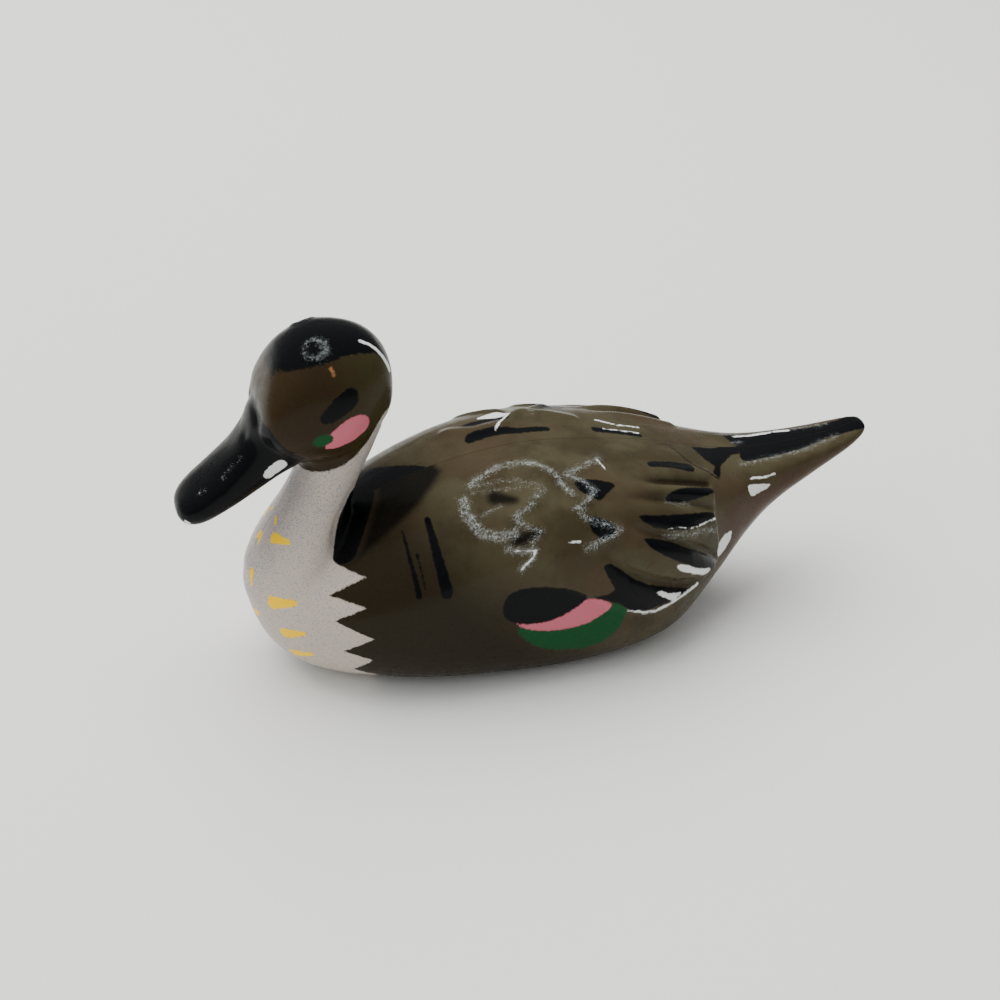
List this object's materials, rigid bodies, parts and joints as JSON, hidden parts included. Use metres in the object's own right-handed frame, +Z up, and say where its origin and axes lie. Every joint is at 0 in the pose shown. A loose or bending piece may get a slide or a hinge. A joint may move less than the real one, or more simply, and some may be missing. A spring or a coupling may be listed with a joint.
{
  "type": "duck decoy",
  "caption": "Small floating drake decoy: hollow body with a centre seam, bowed head on an upright neck, upswept pointed tail, flat base, inner ballast and an anchor-line pin.",
  "frame": {"origin": "middle of the length and breadth, on the flat base", "axes": "+X towards the bill, +Y to the duck's left, +Z up"},
  "size_m": [0.1211, 0.0448, 0.0614],
  "materials": {
    "painted_shell": "hard plastic, hand painted in olive brown, black and white, glossy clear lacquer",
    "ballast_steel": "plain zinc-plated bar",
    "screw_steel": "bright zinc-plated slotted screw",
    "pin_brass": "drawn brass rod"
  },
  "bodies": {
    "root": {"left_shell": "painted_shell", "right_shell": "painted_shell", "ballast_bar": "ballast_steel", "ballast_screw_front": "screw_steel", "ballast_screw_rear": "screw_steel", "line_pin": "pin_brass"}
  },
  "joints": []
}
